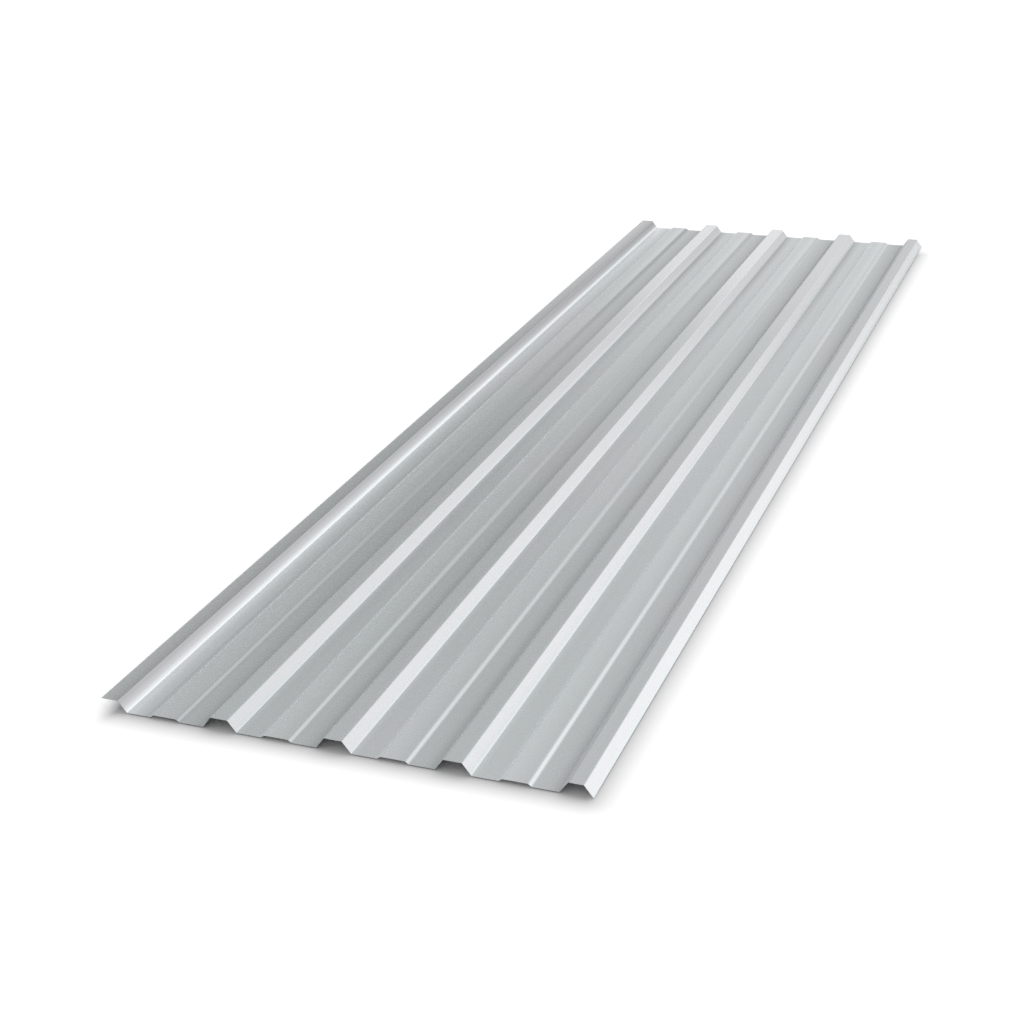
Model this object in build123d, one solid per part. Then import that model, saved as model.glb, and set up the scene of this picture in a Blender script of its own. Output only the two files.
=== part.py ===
from build123d import *
import os

# Ribbed roofing and cladding sheet, roll formed from one strip of coated steel.
# Millimetres. X runs across the ribs, Y along them, Z up. The sheet lies flat on
# the underside of its pans. The origin is on that floor, at the middle of the sheet.

# Strip
sheet_length = 3657.6
sheet_thickness = 0.5

# Main ribs, counted from the edge at -X that laps over the next sheet
rib_count = 5
rib_pitch = 252.5
rib_height = 25.4
rib_crown_width = 38.5
rib_web_run = 18.5
rib_bend_radius = 2.4

# How far the last rib's outer web stands in, so that the next sheet's web,
# which comes down from the crown laid over it, closes outside it
lap_inset = 8.0

# One low, wide stiffener in the middle of each pan
stiffener_height = 5.7
stiffener_crown_width = 52.0
stiffener_flank_run = 8.0
stiffener_bend_radius = 5.0


def raised_form(center, crown_width, flank_run, height):
    """Underside corners of one raised form, from its left foot to its right foot."""
    shoulder = crown_width / 2
    foot = shoulder + flank_run
    return [
        (center - foot, 0),
        (center - shoulder, height),
        (center + shoulder, height),
        (center + foot, 0),
    ]


def rib(number):
    return raised_form(number * rib_pitch, rib_crown_width, rib_web_run, rib_height)


def overlapping_rib():
    """The first rib has a crown and one web: its crown ends in the sheet's free edge."""
    return rib(0)[1:]


def lap_rib():
    """The last rib is whole, and its outer web ends on the floor in the other free edge."""
    left_foot, left_shoulder, right_shoulder, right_foot = rib(rib_count - 1)
    outer_web = [(x - lap_inset, z) for x, z in (right_shoulder, right_foot)]
    return [left_foot, left_shoulder, *outer_web]


def stiffener(bay):
    center = (bay + 0.5) * rib_pitch
    return raised_form(center, stiffener_crown_width, stiffener_flank_run, stiffener_height)


def underside_bends():
    """Corners of the underside across the whole sheet, each with its inside bend radius."""
    forms = [(overlapping_rib(), rib_bend_radius)]
    for bay in range(rib_count - 1):
        last = bay == rib_count - 2
        forms.append((stiffener(bay), stiffener_bend_radius))
        forms.append((lap_rib() if last else rib(bay + 1), rib_bend_radius))
    return [(corner, radius) for corners, radius in forms for corner in corners]


def turns_up(before, here, after):
    run_in = (here[0] - before[0], here[1] - before[1])
    run_out = (after[0] - here[0], after[1] - here[1])
    return run_in[0] * run_out[1] - run_in[1] * run_out[0] > 0


def underside_radii(corners, inside_radii):
    """Radius that the underside shows at each bend between the two free edges.

    Where the strip turns up, the inside of the bend is on the top face, so the
    underside is wider by the thickness.
    """
    neighbours = zip(corners, corners[1:], corners[2:], inside_radii[1:])
    return [
        radius + sheet_thickness if turns_up(before, here, after) else radius
        for before, here, after, radius in neighbours
    ]


def section():
    """The bent strip's cross section, one closed face of even thickness."""
    corners, inside_radii = zip(*underside_bends())
    points = [(x, 0, z) for x, z in corners]
    underside = FilletPolyline(*points, radius=underside_radii(corners, inside_radii))
    top = underside.offset_2d(sheet_thickness, side=Side.LEFT, closed=False)
    free_edges = [Line(underside @ end, top @ end) for end in (0, 1)]
    outline = Wire.combine([*underside.edges(), *top.edges(), *free_edges])[0]
    return Face(outline)


def formed_sheet():
    """The section drawn out to length, with the origin on the floor at its middle."""
    sheet = extrude(section(), amount=sheet_length, dir=(0, 1, 0))
    box = sheet.bounding_box()
    return Pos(-box.center().X, -box.center().Y, -box.min.Z) * sheet


ribbed_sheet = formed_sheet()
os.makedirs("parts", exist_ok=True)
export_step(ribbed_sheet, "parts/ribbed_sheet.step")
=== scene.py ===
import bpy
from math import atan2, cos, pi, radians, sin, tan
from mathutils import Matrix, Vector, noise


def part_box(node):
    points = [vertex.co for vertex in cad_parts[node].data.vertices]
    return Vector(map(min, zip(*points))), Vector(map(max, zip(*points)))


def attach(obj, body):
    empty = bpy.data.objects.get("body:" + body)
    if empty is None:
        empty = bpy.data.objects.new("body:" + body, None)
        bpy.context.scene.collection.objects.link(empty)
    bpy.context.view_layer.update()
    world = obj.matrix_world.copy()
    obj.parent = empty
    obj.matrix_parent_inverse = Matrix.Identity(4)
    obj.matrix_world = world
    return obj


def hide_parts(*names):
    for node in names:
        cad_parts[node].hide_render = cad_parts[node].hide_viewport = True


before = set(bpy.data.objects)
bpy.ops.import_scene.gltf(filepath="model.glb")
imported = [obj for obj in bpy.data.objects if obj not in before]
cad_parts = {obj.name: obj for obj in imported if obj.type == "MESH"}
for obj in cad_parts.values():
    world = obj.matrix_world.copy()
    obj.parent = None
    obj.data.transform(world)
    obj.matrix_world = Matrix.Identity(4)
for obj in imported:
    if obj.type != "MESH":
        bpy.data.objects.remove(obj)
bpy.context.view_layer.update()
low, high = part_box("ribbed_sheet")
print("frame loaded, sheet", [round(size, 4) for size in high - low])


class Shade:
    # a socket in a node tree, so that a pattern can be written as a sum
    def __init__(self, tree, socket=None):
        self.tree = tree
        self.socket = socket

    def node(self, kind, settings=None, inputs=None, output=0):
        made = self.tree.nodes.new(kind)
        for name, value in (settings or {}).items():
            if name == "stops":
                ramp = made.color_ramp.elements
                while len(ramp) < len(value):
                    ramp.new(1.0)
                for stop, (place, brightness) in zip(ramp, value):
                    stop.position = place
                    stop.color = (brightness, brightness, brightness, 1)
            else:
                setattr(made, name, value)
        for name, value in (inputs or {}).items():
            if isinstance(value, Shade):
                self.tree.links.new(value.socket, made.inputs[name])
            else:
                made.inputs[name].default_value = value
        return Shade(self.tree, made.outputs[output] if made.outputs else None)

    def maths(self, operation, *values):
        return self.node("ShaderNodeMath", {"operation": operation}, dict(enumerate((self, *values))))

    def __add__(self, other):
        return self.maths("ADD", other)

    def __radd__(self, other):
        return self.maths("ADD", other)

    def __sub__(self, other):
        return self.maths("SUBTRACT", other)

    def __rsub__(self, other):
        return self.node("ShaderNodeMath", {"operation": "SUBTRACT"}, {0: other, 1: self})

    def __mul__(self, other):
        return self.maths("MULTIPLY", other)

    def __rmul__(self, other):
        return self.maths("MULTIPLY", other)

    def __pow__(self, other):
        return self.maths("POWER", other)

    def part(self, axis):
        return self.node("ShaderNodeSeparateXYZ", inputs={0: self}, output=axis)

    def between(self, start, end):
        return self.node(
            "ShaderNodeMapRange", {"interpolation_type": "SMOOTHSTEP"},
            {"Value": self, "From Min": start, "From Max": end})

    def blend(self, first, second):
        # sockets 6 and 7 of a Mix node are its two colours, and output 2 is their blend
        return self.node(
            "ShaderNodeMix", {"data_type": "RGBA"}, {0: self, 6: (*first, 1), 7: (*second, 1)}, 2)


def directionOf(azimuth, elevation):
    # angles in degrees: azimuth from +Y towards +X, elevation up from the floor
    turn, rise = radians(azimuth), radians(elevation)
    return Vector((sin(turn) * cos(rise), cos(turn) * cos(rise), sin(rise)))


# The photograph's view
view = {
    "stand": (1.43931, -4.35841, 1.84597),
    "azimuth": -20.5693,
    "elevation": -25.1086,
    "roll": 1.7182,
    "lens": 61.224,
    "sensor": 36.0,
    "shiftX": -0.0518,
    "clip": (0.05, 200),
}


def setCamera():
    ahead = directionOf(view["azimuth"], view["elevation"])
    right = ahead.cross(Vector((0, 0, 1))).normalized()
    up = right.cross(ahead)
    spin = Matrix.Rotation(radians(view["roll"]), 3, ahead)
    pose = Matrix((spin @ right, spin @ up, -ahead)).transposed().to_4x4()
    pose.translation = Vector(view["stand"])
    lens = bpy.data.cameras.new("viewpoint")
    lens.lens = view["lens"]
    lens.sensor_width = view["sensor"]
    lens.shift_x = view["shiftX"]
    lens.clip_start, lens.clip_end = view["clip"]
    camera = bpy.data.objects.new("viewpoint", lens)
    camera.matrix_world = pose
    bpy.context.scene.collection.objects.link(camera)
    bpy.context.scene.camera = camera


setCamera()
print("camera set")

# The sheet: five box ribs, a low stiffener in each pan, one strip of even thickness
sheet = {
    "thickness": 0.0005,
    "ribs": 5,
    "pitch": 0.2525,
    "ribHeight": 0.0254,
    "crown": 0.0385,
    "webRun": 0.0185,
    "ribBend": 0.0024,
    "lapInset": 0.008,
    "stiffHeight": 0.0057,
    "stiffCrown": 0.052,
    "flankRun": 0.008,
    "stiffBend": 0.005,
    "bendSteps": 4,
    "lengthSteps": 108,
    # lines along each flat, so that it can buckle
    "cuts": {"crown": 4, "web": 4, "pan": 4, "stiffener": 5, "flank": 1},
    "buckle": 0.00035,
    "buckleLength": 0.42,
    "buckleWidth": 0.98,  # share of a flat, the rest stays level beside its bends
    "buckleApart": 7.3,  # from one flat to the next in the noise
    "buckleDepth": 0.5,
    "smoothAngle": 30,
    "flatWeight": 90,
    "samePlace": 1e-5,
}
firstRib = low.x + sheet["crown"] / 2


def raisedForm(center, crown, run, height, bend):
    # folds of one raised form on the underside: place, height and the radius inside the bend
    shoulder = crown / 2
    foot = shoulder + run
    return [(center - foot, 0, bend), (center - shoulder, height, bend),
            (center + shoulder, height, bend), (center + foot, 0, bend)]


def sheetFolds():
    folds = []
    last = sheet["ribs"] - 1
    for number in range(sheet["ribs"]):
        center = firstRib + number * sheet["pitch"]
        rib = raisedForm(center, sheet["crown"], sheet["webRun"], sheet["ribHeight"], sheet["ribBend"])
        if number == 0:
            rib = rib[1:]
        if number == last:
            rib[2:] = [(x - sheet["lapInset"], z, bend) for x, z, bend in rib[2:]]
        folds += rib
        if number < last:
            middle = center + sheet["pitch"] / 2
            folds += raisedForm(
                middle, sheet["stiffCrown"], sheet["flankRun"], sheet["stiffHeight"], sheet["stiffBend"])
    return folds


def sheetFlats(folds):
    # each flat between two folds, by name: where it starts and ends across the sheet
    flats = []
    for (x, z, _), (nextX, nextZ, _) in zip(folds, folds[1:]):
        if max(z, nextZ) == sheet["ribHeight"]:
            name = "crown" if z == nextZ else "web"
        elif max(z, nextZ) == sheet["stiffHeight"]:
            name = "stiffener" if z == nextZ else "flank"
        else:
            name = "pan"
        flats.append((name, x, nextX))
    return flats


def isAt(x, places):
    return any(abs(x - place) < sheet["samePlace"] for place in places)


def runsAlong(mesh, edge):
    a, b = (mesh.vertices[i].co for i in edge.vertices)
    return isAt(a.x, [b.x]) and isAt(a.z, [b.z])


def selectOnly(piece, test, kind="VERT"):
    # leaves edit mode to select, and comes back to it
    bpy.ops.object.mode_set(mode="OBJECT")
    bpy.ops.object.select_all(action="DESELECT")
    piece.select_set(True)
    bpy.context.view_layer.objects.active = piece
    bpy.ops.object.mode_set(mode="EDIT")
    bpy.ops.mesh.select_mode(type=kind)
    bpy.ops.mesh.select_all(action="DESELECT")
    bpy.ops.object.mode_set(mode="OBJECT")
    parts = piece.data.vertices if kind == "VERT" else piece.data.edges
    for part in parts:
        part.select = test(part)
    bpy.ops.object.mode_set(mode="EDIT")


def cutAt(x):
    bpy.ops.mesh.select_all(action="SELECT")
    bpy.ops.mesh.bisect(plane_co=(x, 0, 0), plane_no=(1, 0, 0))


def makeSheet():
    folds = sheetFolds()
    left, right = folds[0][0], folds[-1][0]
    bpy.ops.object.select_all(action="DESELECT")
    bpy.ops.mesh.primitive_plane_add(size=1)
    strip = bpy.context.active_object
    strip.name = strip.data.name = "formed_sheet"
    mesh = strip.data
    bpy.ops.object.mode_set(mode="EDIT")
    bpy.ops.transform.resize(value=(right - left, high.y - low.y, 1))
    bpy.ops.transform.translate(value=((left + right) / 2, 0, 0))
    for x, _, _ in folds[1:-1]:
        cutAt(x)
    for height in (sheet["ribHeight"], sheet["stiffHeight"]):
        places = [x for x, z, _ in folds if z == height]
        selectOnly(strip, lambda vertex: isAt(vertex.co.x, places))
        bpy.ops.transform.translate(value=(0, 0, height))
    roundFolds(strip, folds)
    for name, start, end in sheetFlats(folds):
        cuts = sheet["cuts"][name]
        for cut in range(1, cuts + 1):
            cutAt(start + (end - start) * cut / (cuts + 1))
    selectOnly(strip, lambda edge: runsAlong(mesh, edge), "EDGE")
    bpy.ops.mesh.subdivide(number_cuts=sheet["lengthSteps"] - 1)
    bpy.ops.object.mode_set(mode="OBJECT")
    buckleFlats(strip, folds)
    giveThickness(strip)
    return strip


def roundFolds(strip, folds):
    # the strip is only its underside here: a foot's inside bend is on the top face, so its radius
    # on the underside is larger by the thickness
    mesh = strip.data
    for height, run, bend in ((sheet["ribHeight"], sheet["webRun"], sheet["ribBend"]),
                              (sheet["stiffHeight"], sheet["flankRun"], sheet["stiffBend"])):
        halfTurn = atan2(height, run) / 2
        for level, radius in ((height, bend), (0, bend + sheet["thickness"])):
            places = [x for x, z, foldBend in folds[1:-1] if foldBend == bend and z == level]
            selectOnly(strip, lambda edge: runsAlong(mesh, edge) and isAt(
                mesh.vertices[edge.vertices[0]].co.x, places), "EDGE")
            bpy.ops.mesh.bevel(
                offset_type="OFFSET", offset=radius * tan(halfTurn), segments=sheet["bendSteps"],
                profile=0.5, affect="EDGES", clamp_overlap=False)


def buckleFlats(strip, folds):
    # slow waves along the wide flats, up from the floor in a pan and down from the top of a crown
    wide = [flat for flat in sheetFlats(folds) if flat[0] in ("crown", "pan", "stiffener")]
    for number, (name, start, end) in enumerate(wide):
        middle, half = (start + end) / 2, (end - start) / 2
        lift = -sheet["buckle"] if name == "crown" else sheet["buckle"]
        for vertex in strip.data.vertices:
            across = abs(vertex.co.x - middle) / half
            if across < sheet["buckleWidth"]:
                along = vertex.co.y / sheet["buckleLength"]
                wave = noise.noise((along, number * sheet["buckleApart"], sheet["buckleDepth"]))
                vertex.co.z += lift * (1 + wave) / 2 * cos(across * pi / 2) ** 2


def giveThickness(strip):
    solid = strip.modifiers.new("thickness", "SOLIDIFY")
    solid.thickness = sheet["thickness"]
    solid.offset = 1
    solid.use_even_offset = True
    solid.use_quality_normals = True
    bpy.ops.object.modifier_apply(modifier=solid.name)
    bpy.ops.object.shade_smooth_by_angle(angle=radians(sheet["smoothAngle"]))
    even = strip.modifiers.new("even_shading", "WEIGHTED_NORMAL")
    even.keep_sharp = True
    even.weight = sheet["flatWeight"]
    bpy.ops.object.modifier_apply(modifier=even.name)


formedSheet = makeSheet()
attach(formedSheet, "root")
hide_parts("ribbed_sheet")
print("sheet formed,", len(formedSheet.data.polygons), "faces")

# Coated steel: satin zinc and aluminium, fine spangle, faint lengthwise streaks, and painted light and shade
# in bands along the ribs
steel = {
    "cool": (0.635, 0.675, 0.683),
    "rosy": (0.668, 0.672, 0.688),
    # share of the rosy colour: everywhere, in slow patches, on the webs and on the crowns' far ends,
    # and where along the sheet that last share starts and is full
    "rosyPlain": 0.36,
    "rosyPatches": 1.2,
    "rosyWebs": 0.5,
    "rosyCrowns": 0.3,
    "rosyFar": (0.0, 1.6),
    # noises: how fine in x, y and z, and how detailed
    "grain": ((700, 700, 700), 2.0),
    "streak": ((330, 1.3, 330), 3.0),
    "band": ((24, 0.45, 24), 2.0),
    "patch": ((2.6, 1.1, 2.6), 2.0),
    "spangleScale": 270.0,
    # how strongly each pattern shows in the colour, the roughness and the relief
    "inColor": {"spangle": 0.02, "grain": 0.015, "streak": 0.035, "band": 0.06},
    "inRoughness": {"spangle": 0.05, "streak": 0.05, "band": 0.04},
    "inRelief": {"spangle": 0.4, "grain": 1.0, "streak": 0.3},
    "roughness": 0.27,
    "reliefStrength": 0.03,
    "reliefHeight": 0.0002,
    # heights over which the pans and the webs give way to what is above them
    "webFrom": (0.0065, 0.0085),
    "crownFrom": (0.0225, 0.0252),
    # metres from the middle of a stiffener's right flank, where its painted light and shade ends and where
    # it is full
    "flankFade": (0.007, 0.004),
    # painted light and shade across one pitch: brightness given in millimetres from the middle of a rib,
    # darker in the pan beside each rib's left foot and on its left web, lighter beside the web feet and on
    # the stiffeners' left shoulders
    "plainBandLevel": 0.5,
    "paintedBands": [
        (0, 0.48), (34, 0.49), (37, 0.53), (41, 0.55), (55, 0.52), (88, 0.5), (94, 0.51), (99, 0.53),
        (104, 0.57), (125, 0.54), (146, 0.5), (156, 0.49), (175, 0.48), (195, 0.44), (207, 0.38),
        (213, 0.35), (231.5, 0.33), (234.3, 0.35), (235.4, 0.48), (252.5, 0.48)],
    # the same towards the far end of the sheet, and where along it they start and take over
    "farPaintedBands": [
        (0, 0.48), (33, 0.5), (41, 0.4), (50, 0.45), (66, 0.55), (92, 0.52), (99, 0.57), (120, 0.55),
        (142, 0.62), (148, 0.56), (153, 0.47), (160, 0.5), (175, 0.47), (195, 0.42), (207, 0.36),
        (213, 0.35), (231.5, 0.33), (234.3, 0.35), (235.4, 0.48), (252.5, 0.48)],
    "farPaintedBandsFrom": (0.1, 1.6),
    # the same beside the edge that laps over the next sheet, in millimetres from that edge: painted shade on
    # the top of the first web and a painted highlight along its foot and into the pan beside it
    "lapPaintedBands": [
        (0, 0.46), (20, 0.42), (36, 0.36), (42, 0.34), (50, 0.44), (54, 0.6), (57, 0.72), (62, 0.78),
        (68, 0.77), (74, 0.71), (80, 0.66), (90, 0.59), (100, 0.56), (120, 0.56)],
    "lapPaintedBandsEnd": 100,
    # painted light and shade over the sheet, as brightness at its near left corner, near right, far left,
    # far right
    "paintedLight": {
        "crown": (0.98, 1.04, 1.14, 1.06),
        "web": (0.95, 1.04, 0.82, 1.08),
        "pan": (0.92, 1.06, 1.0, 0.99),
        "flank": (0.79, 1.15, 0.7, 1.35),
    },
    # a highlight painted on the far ends of the inner crowns: how much brighter, where that is full from the
    # left and starts to fade to the right, and where along the sheet it starts and is full
    "farCrownHighlight": 0.4,
    "farCrownHighlightLeft": -0.26,
    "farCrownHighlightRight": -0.1,
    "farCrownHighlightFrom": (0.2, 1.6),
    "brightest": 1.42,
    # where the bends that face left were scuffed dull, in millimetres from the middle of a rib
    "scuffs": [(90, 101), (210, 235.5)],
    "scuffEdge": 1,
    "scuffRoughness": 0.35,
    "rim": 0.00008,
    "rimShade": 0.45,
}


def sumOf(patterns, shares):
    return sum(patterns[name] * share for name, share in shares.items())


def makeSteel():
    material = bpy.data.materials.new("satin_zinc_steel")
    material.use_nodes = True
    tree = material.node_tree
    shader = tree.nodes["Principled BSDF"]
    start = Shade(tree)
    place = start.node("ShaderNodeTexCoord", output="Object")
    x, y, z = (place.part(axis) for axis in "XYZ")
    crystals = start.node(
        "ShaderNodeTexVoronoi", inputs={"Vector": place, "Scale": steel["spangleScale"]}, output="Color")
    patterns = {name: noiseOver(place, *steel[name]) for name in ("grain", "streak", "band", "patch")}
    patterns["spangle"] = crystals.part("X") - 0.5

    crown = z.between(*steel["crownFrom"])
    raised = z.between(*steel["webFrom"])
    web = raised * (1 - crown)
    flank = flankOf(x).maths("ABSOLUTE").between(*steel["flankFade"])
    # painted light and shade in bands across each pitch, under the random spangle, grain, streaks and bands
    brightness = paintedBands(start, x, y) * (1 + sumOf(patterns, steel["inColor"]))
    # painted light and shade drifting over the crowns, webs, pans and stiffener flanks
    for kind, where in (("crown", crown), ("web", web), ("pan", 1 - raised), ("flank", flank)):
        brightness = brightness * (1 + where * (paintedLightOf(x, y, kind) - 1))
    brightness = brightness.maths("MINIMUM", steel["brightest"])
    cutEnds = y.maths("ABSOLUTE").maths("GREATER_THAN", high.y - steel["rim"])
    cutSides = x.maths("ABSOLUTE").maths("GREATER_THAN", high.x - steel["rim"])
    brightness = brightness * (1 - (cutEnds + cutSides).maths("MINIMUM", 1.0) * steel["rimShade"])

    farCrown = crown * y.between(*steel["rosyFar"])
    rosy = (patterns["patch"] * steel["rosyPatches"] + steel["rosyPlain"] + web * steel["rosyWebs"]
            + farCrown * steel["rosyCrowns"])
    tint = rosy.between(0.0, 1.0).blend(steel["cool"], steel["rosy"])
    color = start.node("ShaderNodeVectorMath", {"operation": "SCALE"}, {0: tint, "Scale": brightness})
    roughness = steel["roughness"] + sumOf(patterns, steel["inRoughness"]) + scuffs(x)
    relief = start.node("ShaderNodeBump", inputs={
        "Strength": steel["reliefStrength"], "Distance": steel["reliefHeight"],
        "Height": sumOf(patterns, steel["inRelief"])})
    for name, value in (("Base Color", color), ("Roughness", roughness), ("Normal", relief)):
        tree.links.new(value.socket, shader.inputs[name])
    shader.inputs["Metallic"].default_value = 1.0
    return material


def noiseOver(place, scale, detail):
    # noise from about -0.5 to 0.5, drawn out where its scale is small
    spread = place.node("ShaderNodeVectorMath", {"operation": "MULTIPLY"}, {0: place, 1: scale})
    return place.node("ShaderNodeTexNoise", inputs={"Vector": spread, "Scale": 1.0, "Detail": detail}) - 0.5


def pitchShare(x, origin=firstRib):
    # 0 at the origin and at every pitch from it, rising to 1 before the next
    return ((x - origin) * (1 / sheet["pitch"])).maths("FRACT")


def flankOf(x):
    # metres from the middle of the nearest stiffener's right flank
    pitch = sheet["pitch"]
    return pitchShare(x, firstRib + (sheet["stiffCrown"] + sheet["flankRun"]) / 2) * pitch - pitch / 2


def paintedBandsOver(start, place, name, reach):
    # one set of painted light and shade bands, drawn across a reach in metres
    stops = [(millimetres / 1000 / reach, value) for millimetres, value in steel[name]]
    return start.node("ShaderNodeValToRGB", {"stops": stops}, {"Fac": place})


def paintedBands(start, x, y):
    # painted light and shade in bands along the whole sheet, lighter or darker across each pitch and beside
    # the lapping edge
    across, pitch = pitchShare(x), sheet["pitch"]
    near = paintedBandsOver(start, across, "paintedBands", pitch)
    far = paintedBandsOver(start, across, "farPaintedBands", pitch)
    marks = near + (far - near) * y.between(*steel["farPaintedBandsFrom"])
    reach = steel["lapPaintedBands"][-1][0] / 1000
    lap = paintedBandsOver(start, (x - low.x) * (1 / reach), "lapPaintedBands", reach)
    atLap = x.maths("LESS_THAN", low.x + steel["lapPaintedBandsEnd"] / 1000)
    return (atLap * lap + (1 - atLap) * marks) * (1 / steel["plainBandLevel"])


def paintedLightOf(x, y, kind):
    # painted light and shade: brightness against the plain colour, drawn evenly between its values at the
    # sheet's corners
    nearLeft, nearRight, farLeft, farRight = steel["paintedLight"][kind]
    across = (x - low.x) * (1 / (high.x - low.x))
    near = across * (nearRight - nearLeft) + nearLeft
    far = across * (farRight - farLeft) + farLeft
    paintedLight = near + (far - near) * y.between(low.y, high.y)
    # painted highlight on the far ends of the inner crowns
    if kind == "crown":
        inner = x.between(low.x, steel["farCrownHighlightLeft"]) * (1 - x.between(steel["farCrownHighlightRight"], high.x))
        paintedLight = paintedLight + inner * y.between(*steel["farCrownHighlightFrom"]) * steel["farCrownHighlight"]
    return paintedLight


def scuffs(x):
    # roughness added on the scuffed bends, with soft edges
    across, edge = pitchShare(x) * (sheet["pitch"] * 1000), steel["scuffEdge"]
    return sum(
        across.between(begin - edge, begin + edge) * (1 - across.between(end - edge, end))
        for begin, end in steel["scuffs"]) * steel["scuffRoughness"]


formedSheet.data.materials.clear()
formedSheet.data.materials.append(makeSteel())
print("steel made")

# The studio: a pale floor that keeps the sheet's shadow, with a soft shadow also painted round the sheet,
# under a soft dome of light
studio = {
    "floorDrop": 0.002,
    "floorSize": 80.0,
    "floorColor": (0.9, 0.9, 0.9),
    "floorLift": 0.2,
    "paintedShadowDepth": 0.46,
    # the floor's painted shadow at each edge of the sheet: how far in it starts to lift, and how far on it
    # is gone
    "shade": {"left": (0.03, 0.05), "right": (0.016, 0.1), "near": (0.0, 0.092), "far": (0.1, 0.092)},
    "dome": 0.64,
    "horizon": 1.03,
    "horizonHeight": 30.0,
    # soft panels round the sheet, in degrees: azimuths, elevations, softness of the edges, then strength
    "panels": {
        "right back, low": (23, 50, -20, 30, 6, 0.4),
        "right back, high": (23, 60, 30, 55, 8, 0.78),
        "right": (50, 110, -20, 50, 9, 0.2),
        "back left, high": (-45, 5, 26, 50, 6, 0.14),
        "back gap": (-5, 23, -20, 12, 6, -0.3),
        "left, low": (-70, -30, -20, 15, 8, 1.1),
        "left gap": (-75, -20, 13, 30, 6, -0.3),
    },
    # one wide soft light behind the camera
    "behind": {"azimuth": -160.0, "elevation": 25.0, "spread": 105.0, "strength": 0.6},
}


def makeFloor():
    bpy.ops.object.select_all(action="DESELECT")
    bpy.ops.mesh.primitive_plane_add(size=studio["floorSize"], location=(0, 0, -studio["floorDrop"]))
    bpy.ops.object.transform_apply(location=True)
    floor = bpy.context.active_object
    floor.name = "studio_floor"
    material = bpy.data.materials.new("studio_floor")
    material.use_nodes = True
    tree = material.node_tree
    tree.nodes.clear()
    start = Shade(tree)
    seen = start.node("ShaderNodeLightPath") + start.node("ShaderNodeLightPath", output="Is Glossy Ray")
    openFloor = paintedContactShadow(start)
    # the floor's colour darkens towards the sheet in a painted shadow, and its lift fades with it
    shadowPaintColor = tuple(channel * (1 - studio["paintedShadowDepth"]) for channel in studio["floorColor"])
    paint = start.node("ShaderNodeBsdfDiffuse", inputs={
        "Color": openFloor.blend(shadowPaintColor, studio["floorColor"])})
    lift = start.node("ShaderNodeEmission", inputs={"Strength": seen * studio["floorLift"] * openFloor})
    both = start.node("ShaderNodeAddShader", inputs={0: paint, 1: lift})
    start.node("ShaderNodeOutputMaterial", inputs={"Surface": both})
    floor.data.materials.append(material)


def paintedContactShadow(start):
    # painted shadow round the sheet: 0 under the sheet, 1 on the open floor
    place = start.node("ShaderNodeTexCoord", output="Object")
    beside = distanceOut(place.part("X"), low.x, high.x, "left", "right")
    beyond = distanceOut(place.part("Y"), low.y, high.y, "near", "far")
    away = (beside ** 2 + beyond ** 2).maths("SQRT").maths("MINIMUM", 1.0)
    return 1 - (1 - away) ** 2


def distanceOut(along, first, last, firstSide, lastSide):
    # 0 between the sheet's two edges, and 1 where the painted shadow at either edge is gone
    firstInset, firstReach = studio["shade"][firstSide]
    lastInset, lastReach = studio["shade"][lastSide]
    before = (first + firstInset - along) * (1 / firstReach)
    after = (along - (last - lastInset)) * (1 / lastReach)
    return before.maths("MAXIMUM", after).maths("MAXIMUM", 0.0)


def window(angle, start, end, soft):
    # 1 between two angles in degrees, with soft edges
    opening = angle.between(radians(start - soft), radians(start + soft))
    return opening * (1 - angle.between(radians(end - soft), radians(end + soft)))


def makeWorld():
    world = bpy.data.worlds.new("studio_light")
    world.use_nodes = True
    bpy.context.scene.world = world
    tree = world.node_tree
    tree.nodes.clear()
    start = Shade(tree)
    toward = start.node("ShaderNodeTexCoord", output="Generated")
    x, y, z = (toward.part(axis) for axis in "XYZ")
    aboveHorizon = z.between(0.0, sin(radians(studio["horizonHeight"])))
    light = studio["dome"] + (studio["horizon"] - studio["dome"]) * (1 - aboveHorizon)
    azimuth, elevation = x.maths("ARCTAN2", y), z.maths("ARCSINE")
    for left, right, bottom, top, soft, strength in studio["panels"].values():
        inside = window(azimuth, left, right, soft) * window(elevation, bottom, top, soft)
        light = light + strength * inside
    behind = studio["behind"]
    axis = directionOf(behind["azimuth"], behind["elevation"])
    facing = start.node("ShaderNodeVectorMath", {"operation": "DOT_PRODUCT"}, {0: toward, 1: axis}, "Value")
    light = light + behind["strength"] * facing.between(cos(radians(behind["spread"])), 1.0)
    seen = start.node("ShaderNodeLightPath")  # its first output is Is Camera Ray
    light = light * (1 - seen) + seen
    background = start.node("ShaderNodeBackground", inputs={"Color": (1, 1, 1, 1), "Strength": light})
    start.node("ShaderNodeOutputWorld", inputs={"Surface": background})


makeFloor()
makeWorld()
bpy.context.scene.view_settings.view_transform = "Standard"
print("studio set")
